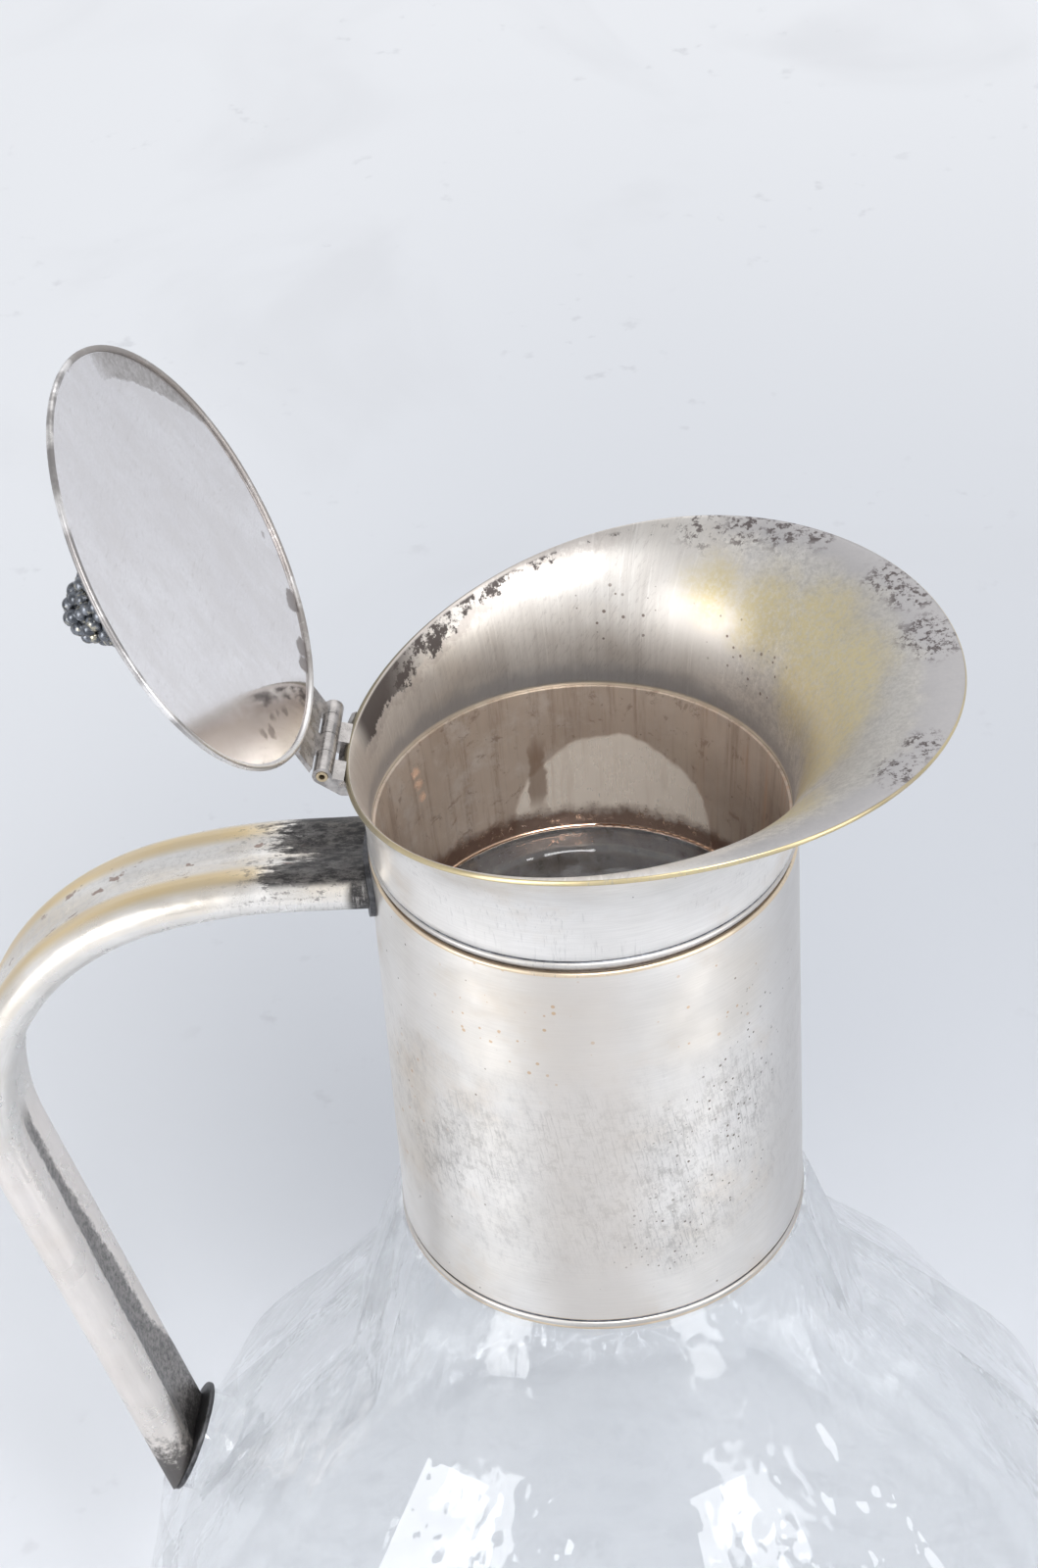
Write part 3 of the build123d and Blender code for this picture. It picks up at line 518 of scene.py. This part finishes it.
def grape_paint():
    """Oxidised berries with painted glints: a mottle up to 3.2 times as bright, and a few slightly golden,
    glossier places.
    """
    # painted glints: the mottle is up to 3.2 times as bright
    p = plain_dark("grape_oxide", (0.085, 0.09, 0.10), 0.28, 0.9, 1.3, 3.2)
    # painted glints: slightly golden, glossier patches
    lay_colour(p, p.span(p.noise(1.7, detail=4, rough=0.7), 0.54, 0.64, 0.0, 0.8), (0.52, 0.48, 0.37), 0.22)
    return p


def rim_paint():
    """Plate worn through to brass along the rim, dull towards the hinge."""
    p = silver("rim_brass", light=(0.72, 0.60, 0.35), dark=(0.45, 0.37, 0.21), pits=0.0)
    lay_colour(p, p.span(p.line(p.y, -0.5, p.x), -4, -26, 0.0, 0.8), (0.14, 0.125, 0.10), 0.45)
    return p


def glass_material():
    """Clear glass, partly see-through, whose clear coat gives the highlights their uneven shapes."""
    p = Paint("clear_cut_glass", 0.0, 0.0)
    p.set("Base Color", (0.89, 0.90, 0.905))
    p.set("Transmission Weight", 1.0)
    p.set("IOR", 1.08)
    p.set("Alpha", 0.7)
    p.set("Coat Weight", 1.0)
    p.set("Coat IOR", 1.75)
    p.set("Coat Roughness", 0.0)
    ripples = p.noise(3.6, p.stretch(p.mm, 1, 1, 0.6), detail=2)
    p.bump(p.line(ripples, 0.5, p.noise(22, detail=1)), 0.5)
    p.bump(p.noise(8, p.stretch(p.mm, 1, 1, 0.7), detail=2, rough=0.4), 1.4, "Coat Normal")
    return p.material


collar_silver = finish_metal(collar_paint())
flare_silver = finish_metal(flare_paint())
flare_outer = finish_metal(silver("flare_outside", roughness=0.34, scuffs=0.3))
handle_silver = finish_metal(handle_paint(), 0.015)
lid_silver = finish_metal(lid_paint(), 0.003)
liner_silver = finish_metal(liner_paint())
edge_silver = finish_metal(edge_paint())
moulding_silver = finish_metal(silver("moulding_silver", roughness=0.42, light=(0.62, 0.595, 0.57),
                                      dark=(0.46, 0.44, 0.42), pits=0.0))
tan_edge = finish_metal(silver("tan_edge", light=(0.84, 0.70, 0.52), dark=(0.66, 0.52, 0.37), pits=0.0))
rim_brass = finish_metal(rim_paint())
brass = finish_metal(silver("pin_brass", light=(0.58, 0.47, 0.30), dark=(0.35, 0.28, 0.18)))
oxide = finish_metal(plain_dark("dark_oxide", (0.055, 0.055, 0.058)), 0.05)
groove_grey = finish_metal(plain_dark("groove_grey", (0.11, 0.115, 0.13), 0.4, 0.85))
hinge_grey = finish_metal(plain_dark("hinge_grey", (0.26, 0.245, 0.235), 0.3, 0.85, 2.2, 2.0), 0.02)
grape_oxide = finish_metal(grape_paint(), 0.05)
plaster = finish_metal(plain_dark("neck_plaster", (0.07, 0.055, 0.045), 0.35, 0.0, 2.0, 1.8), 0.05)
glass = glass_material()

dress = {
    "glass_body": glass, "neck_collar": collar_silver, "collar_foot_bead": collar_silver,
    "joint_band": collar_silver, "neck_liner": liner_silver, "neck_cement": plaster,
    "spout_flare": flare_silver, "handle_left_half": handle_silver, "handle_right_half": handle_silver,
    "handle_root_plate": oxide, "handle_foot_plate": oxide, "handle_foot_cement": plaster,
    "hinge_collar_leaf": hinge_grey, "hinge_pin": brass, "hinge_lid_leaf": hinge_grey,
    "lid_dome": lid_silver, "lid_edge_wire": edge_silver, "finial_base": grape_oxide,
    "grape_finial": oxide, "finial_rivet": lid_silver,
}
for name, material in dress.items():
    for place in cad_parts[name].material_slots:
        place.material = material
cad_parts["glass_body"].visible_shadow = False


# ---- pieces of the scene's own ------------------------------------------------------------------

def add_object(name, data):
    made = bpy.data.objects.new(name, data)
    bpy.context.scene.collection.objects.link(made)
    return made


def add_piece(name, mesh, body, replaced):
    made = add_object(name, mesh)
    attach(made, body)
    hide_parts(*replaced)


def build(name, points, faces, kinds, paints, body, replaced, sharp=38, place=None):
    """A piece from points in millimetres. kinds gives each face's index into paints."""
    mesh = bpy.data.meshes.new(name)
    mesh.from_pydata([Vector(p) * MM for p in points], [], faces)
    for paint in paints:
        mesh.materials.append(paint)
    for polygon, kind in zip(mesh.polygons, kinds):
        polygon.material_index = kind
    shape = bmesh.new()
    shape.from_mesh(mesh)
    bmesh.ops.remove_doubles(shape, verts=shape.verts, dist=1e-7)
    bmesh.ops.recalc_face_normals(shape, faces=shape.faces)
    shape.to_mesh(mesh)
    shape.free()
    if place:
        mesh.transform(place)
    mesh.shade_smooth()
    mesh.set_sharp_from_angle(angle=radians(sharp))
    add_piece(name, mesh, body, replaced)


def ring_faces(ring, rings, size):
    """The faces from one ring of size points to the next, round a closed loop of rings."""
    first, second = ring * size, (ring + 1) % rings * size
    return [(first + k, first + (k + 1) % size, second + (k + 1) % size, second + k) for k in range(size)]


def lathe(outline, count=288):
    """A closed ring about Z from (radius, height, kind) points; kind is that of the face after the point."""
    points, faces, kinds = [], [], []
    for i in range(count):
        a = tau * i / count
        points += [(r * cos(a), r * sin(a), z) for r, z, kind in outline]
        faces += ring_faces(i, count, len(outline))
        kinds += [kind for r, z, kind in outline]
    return points, faces, kinds


def arc(middle, radius, first, last, count, kind):
    """Points (radius, height, kind) along an arc, angles in degrees from +r towards +z."""
    turns = [radians(first + (last - first) * i / count) for i in range(count + 1)]
    return [(middle[0] + radius * cos(t), middle[1] + radius * sin(t), kind) for t in turns]


# collar: its sleeve, whose edges roll over, and the two mouldings above and below
SILVER, DARK, TAN, WORN = 0, 1, 2, 3
collar_paints = [collar_silver, groove_grey, tan_edge, moulding_silver]
GROOVE_RADIUS = 34.6
BAND_LOW, BAND_HIGH = 210.4, 211.95
SLEEVE_LOW, SLEEVE_HIGH = 131.65, 209.75
UPPER_ROLL, LOWER_ROLL = 0.45, 0.4
BEAD_LOW, BEAD_HIGH = 129.7, 131.4

upper_roll = arc((COLLAR_RADIUS - UPPER_ROLL, SLEEVE_HIGH - UPPER_ROLL), UPPER_ROLL, 150, 0, 6, TAN)
lower_roll = arc((COLLAR_RADIUS - LOWER_ROLL, SLEEVE_LOW + LOWER_ROLL), LOWER_ROLL, 0, -120, 5, TAN)
tan_ends = upper_roll[-1][1]
sleeve = ([(COLLAR_INSIDE, SLEEVE_LOW, SILVER), (COLLAR_INSIDE, SLEEVE_HIGH - 0.2, SILVER)]
          + upper_roll[:-1] + [(COLLAR_RADIUS, tan_ends, TAN), (COLLAR_RADIUS, tan_ends - 0.25, SILVER)]
          + lower_roll)
build("neck_collar_sleeve", *lathe(sleeve), collar_paints, "jug", ["neck_collar"])

band = ([(34.05, BAND_LOW, DARK), (34.05, BAND_HIGH, DARK), (GROOVE_RADIUS, BAND_HIGH, DARK),
         (34.72, 211.82, WORN)]
        + arc((34.35, 211.2), 0.65, 72, -72, 8, WORN)
        + [(34.72, 210.52, DARK), (GROOVE_RADIUS, BAND_LOW, DARK)])
build("collar_band_moulding", *lathe(band), collar_paints, "jug", ["joint_band"])

bead = ([(COLLAR_INSIDE, BEAD_LOW, DARK), (COLLAR_INSIDE, BEAD_HIGH, DARK), (34.55, BEAD_HIGH, DARK),
         (34.65, 131.25, DARK)]
        + arc((34.55, 130.75), 0.66, 60, -15, 5, WORN) + [(35.2, 130.4, TAN)]
        + arc((34.85, 130.05), 0.35, 10, -90, 4, TAN))
build("collar_foot_moulding", *lathe(bead), collar_paints, "jug", ["collar_foot_bead"])


# spout: one curved sheet with a rounded, brassy rim
def rim_point(azimuth):
    along = cos(azimuth)
    height = RIM_HEIGHT + RIM_TILT * along - RIM_HOLLOW * along ** 2
    return RIM_MIDDLE + RIM_HALF_LENGTH * along, RIM_HALF_WIDTH * sin(azimuth), GROOVE_Z + height


def flare_inside(azimuth, share):
    """A point of the sheet's inner face: share is 0 on the skirt's top and 1 on the rim."""
    x, y = FLARE_INSIDE * cos(azimuth), FLARE_INSIDE * sin(azimuth)
    rim_x, rim_y, rim_z = rim_point(azimuth)
    full = radians(75 + 13 * cos(azimuth))
    out = (1 - cos(full * share)) / (1 - cos(full))
    rise = sin(full * share) / sin(full)
    return Vector((x + (rim_x - x) * out, y + (rim_y - y) * out, SKIRT_TOP + (rim_z - SKIRT_TOP) * rise))


def flare_point(azimuth, share, out):
    """The point that far out of the sheet's inner face, square to it."""
    step = 1e-3
    below = max(share - step, 0)
    along = flare_inside(azimuth, below + step) - flare_inside(azimuth, below)
    around = flare_inside(azimuth + step, share) - flare_inside(azimuth - step, share)
    return flare_inside(azimuth, share) + around.cross(along).normalized() * out


def around_z(radius, azimuth, height):
    return Vector((radius * cos(azimuth), radius * sin(azimuth), height))


OUTSIDE, RIM, INSIDE, FOOT = 0, 1, 2, 3


def make_flare():
    """The sheet's cross-section at every azimuth: up inside, over the rounded rim, and down outside."""
    sectors, steps = 320, 44
    crown = 0.3 * FLARE_WALL            # height of the rim's rounding
    shares = [i / steps for i in range(steps + 1)]
    rim_turns = [radians(degrees) for degrees in range(15, 180, 25)]
    points, faces, kinds = [], [], []
    for i in range(sectors):
        a = tau * i / sectors
        inner = [flare_point(a, s, 0) for s in shares]
        outer = [flare_point(a, s, FLARE_WALL) for s in reversed(shares)]
        out = (outer[0] - inner[-1]).normalized()
        along = (inner[-1] - inner[-2]).normalized()
        middle = (outer[0] + inner[-1]) / 2 - along * crown
        rim = [middle + out * FLARE_WALL / 2 * -cos(t) + along * crown * sin(t) for t in rim_turns]
        skirt = outer[1:] + [around_z(34.93, a, 212.4), around_z(34.7, a, 212.15)]
        ring = [around_z(FLARE_INSIDE, a, 212.5)] + inner[:-1] + rim + skirt
        points += ring
        faces += ring_faces(i, sectors, len(ring))
        kinds += [INSIDE] * len(inner) + [RIM] * len(rim) + [OUTSIDE] * (len(skirt) - 2) + [FOOT] * 2
    return points, faces, kinds


flare_paints = [flare_outer, rim_brass, flare_silver, oxide]
build("spout_flare_sheet", *make_flare(), flare_paints, "jug", ["spout_flare"], sharp=60)


# lid: a shallow dome outside, closed by a nearly flat polished lining inside
LID_STEPS = 40
LINING_EDGE, LINING_RISE = 0.5, 0.6
shares = [i / LID_STEPS for i in range(LID_STEPS + 1)]
dome = [(LID_EDGE * s, LID_HEIGHT - LID_CURVE + sqrt(LID_CURVE ** 2 - (LID_EDGE * s) ** 2), SILVER)
        for s in shares]
lining = [(LID_EDGE * s, LINING_EDGE + LINING_RISE * (1 - s ** 2), SILVER) for s in reversed(shares)]
build("lid_shell", *lathe(dome + lining, 192), [lid_silver], "lid", ["lid_dome"],
      place=LID_METRES @ Matrix.Translation(Vector((LID_REACH, 0, -LID_DROP)) * MM))


# grape cluster: round berries on the bunch that the casting fills
def bunch_radius(z):
    """Outline of the bunch, from its foot at 8.3 to its tip at 23.7 above the lid's edge."""
    stations = [(8.3, 6.4), (9.6, 7.9), (11.2, 8.5), (13.5, 8.4), (17.4, 6.9), (20.5, 4.9), (22.6, 2.8),
                (23.7, 0)]
    for (z0, r0), (z1, r1) in zip(stations, stations[1:]):
        if z <= z1:
            return r0 + (r1 - r0) * (z - z0) / (z1 - z0)
    return 0.0


def scatter(berry, use):
    """A number from 0 to 1 that looks random, one for each berry and use."""
    return sin(berry * 12.9898 + use * 78.233) * 43758.5453 % 1.0


def make_grapes():
    first_row, last_row = 9.0, 23.2
    row_pitch, tip_pitch_cut = 1.95, 0.5
    tip_from, tip_length = 18, 6
    berry_spacing = 2.35
    shape = bmesh.new()
    middle = Vector((LID_REACH - 1.6, 0, -LID_DROP))

    def ball(at, radius, subdivisions=3, turn=Matrix.Identity(4)):
        bmesh.ops.create_icosphere(shape, subdivisions=subdivisions, radius=radius,
                                   matrix=Matrix.Translation(middle + Vector(at)) @ turn)

    z, n = first_row, 0
    while z < last_row:
        radius = bunch_radius(z)
        count = max(1, round(tau * max(radius - 1.0, 0.2) / berry_spacing))
        half_turn = 0.5 * (round(z * 10) % 2)
        for k in range(count):
            n += 1
            a = tau * (k + half_turn) / count + 0.25 * (scatter(n, 1) - 0.5) + n * 0.002
            size = 1.18 + 0.3 * scatter(n, 2)
            seat = max(radius - size * (0.85 + 0.25 * scatter(n, 3)), 0)
            turn = Matrix.Rotation(tau * scatter(n, 5), 4, "X") @ Matrix.Rotation(a, 4, "Z")
            ball(around_z(seat, a, z + 0.7 * (scatter(n, 4) - 0.5)), size, turn=turn)
        z += row_pitch - tip_pitch_cut * max(0, (z - tip_from) / tip_length)
    ball((0, 0, 15), 1.0, turn=Matrix.Diagonal((5.9, 5.9, 6.9, 1)))     # the core between them
    ball((0.2, 0, 22.45), 1.25, subdivisions=2)                         # the berry at the tip
    shape.transform(Matrix.Scale(MM, 4))
    shape.transform(LID_METRES)
    mesh = bpy.data.meshes.new("grape_cluster")
    shape.to_mesh(mesh)
    shape.free()
    mesh.shade_smooth()
    mesh.materials.append(grape_oxide)
    add_piece("grape_cluster", mesh, "lid", ["grape_finial"])


make_grapes()


# ---- floor, light and camera --------------------------------------------------------------------

def floor_material():
    """Pale floor with painted shade round the jug and in front, painted light farther back and to the left,
    and faint veins and smudges.
    """
    p = Paint("pale_floor", 0.55, 0.0)
    # painted shade near the jug and in front of it, painted light farther back
    painted_light_falloff = p.more(p.span(p.y, 180, 850), p.span(p.vector("LENGTH", p.mm), 180, 1400, 0, 0.4))
    p.colour = p.mix(painted_light_falloff, (0.61, 0.63, 0.67), (0.97, 0.975, 0.99))
    # painted light: lighter to the left
    lay_colour(p, p.span(p.x, 0, -220, 0, 0.5), (0.93, 0.94, 0.96))
    lay_colour(p, p.span(p.noise(160, detail=4, twist=1.5), 0.5, 0.75, 0, 0.22), (0.62, 0.62, 0.64))
    smudges = p.times(p.span(p.noise(9, detail=3), 0.62, 0.75, 0, 0.3), p.span(p.noise(70), 0.5, 0.62))
    lay_colour(p, smudges, (0.45, 0.45, 0.48))
    p.set("Base Color", p.colour)
    return p.material


FLOOR_REACH = 4             # metres to each side
corners = [(x * FLOOR_REACH, y * FLOOR_REACH, 0) for x, y in ((-1, -1), (1, -1), (1, 1), (-1, 1))]
floor_mesh = bpy.data.meshes.new("floor")
floor_mesh.from_pydata(corners, [], [(0, 1, 2, 3)])
floor_mesh.materials.append(floor_material())
floor = add_object("floor", floor_mesh)

world = bpy.data.worlds.new("studio")
bpy.context.scene.world = world
world.use_nodes = True
sky = world.node_tree


def sky_node(kind, inputs, **settings):
    made = sky.nodes.new("ShaderNode" + kind)
    for key, value in settings.items():
        setattr(made, key, value)
    for key, value in inputs.items():
        if isinstance(value, bpy.types.NodeSocket):
            sky.links.new(value, made.inputs[key])
        else:
            made.inputs[key].default_value = value
    return made.outputs


# the sky that is seen and mirrored is brighter at the horizon; what lights the jug is even
HORIZON, ZENITH, AMBIENT = 0.94, 0.62, 0.55
direction = sky_node("TexCoord", {})["Generated"]
height = sky_node("SeparateXYZ", {0: direction})[2]
seen = sky_node("MapRange", {0: height, 1: 0.0, 2: 0.8, 3: HORIZON, 4: ZENITH},
                interpolation_type="SMOOTHSTEP")[0]
rays = sky_node("LightPath", {})
shown = sky_node("Math", {0: rays["Is Camera Ray"], 1: rays["Is Glossy Ray"]}, operation="MAXIMUM")[0]
shown = sky_node("Math", {0: shown, 1: rays["Is Transmission Ray"]}, operation="MAXIMUM")[0]
strength = sky_node("Mix", {0: shown, 2: AMBIENT, 3: seen})[0]
background = sky.nodes["Background"]
sky.links.new(strength, background.inputs["Strength"])
background.inputs["Color"].default_value = (0.93, 0.955, 1.0, 1)


def softbox(name, place, target, width, height, watts):
    """An area lamp; places and sizes are in metres."""
    lamp = bpy.data.lights.new(name, "AREA")
    lamp.shape = "RECTANGLE"
    lamp.size, lamp.size_y = width, height
    lamp.energy = watts
    made = add_object(name, lamp)
    made.location = place
    made.rotation_mode = "QUATERNION"
    made.rotation_quaternion = (Vector(target) - Vector(place)).to_track_quat("-Z", "Y")


softbox("left_window", (-0.95, -0.85, 0.42), (0, 0, 0.15), 0.55, 0.7, 6.5)
softbox("right_window", (1.05, -0.70, 0.38), (0, 0, 0.15), 0.55, 0.7, 5)
softbox("top_window", (0.30, -0.75, 1.15), (0.02, 0, 0.2), 0.6, 0.6, 10)
softbox("back_panel", (0.1, 1.5, 1.5), (0, 0.2, 0.0), 1.6, 0.8, 6)

# the photograph's camera: place in metres, and focal length in the photograph's pixels
CAMERA_PLACE = Vector((0.0434, -0.4678, 0.5980))
CAMERA_FORWARD = Vector((-0.0882, 0.7743, -0.6266))
CAMERA_UP = Vector((-0.0018, 0.6290, 0.7774))
FOCAL_PIXELS, PHOTO_HEIGHT = 3832, 1600
SENSOR = 36.0

camera = bpy.data.cameras.new("camera")
camera.sensor_width = SENSOR
camera.lens = FOCAL_PIXELS / PHOTO_HEIGHT * SENSOR
camera.clip_start, camera.clip_end = 0.01, 20
eye = add_object("camera", camera)
forward = CAMERA_FORWARD.normalized()
right = forward.cross(CAMERA_UP).normalized()
axes = Matrix((right, right.cross(forward), -forward)).transposed()
eye.matrix_world = Matrix.Translation(CAMERA_PLACE) @ axes.to_4x4()
bpy.context.scene.camera = eye
bpy.context.scene.view_settings.view_transform = "Standard"

bpy.context.view_layer.update()
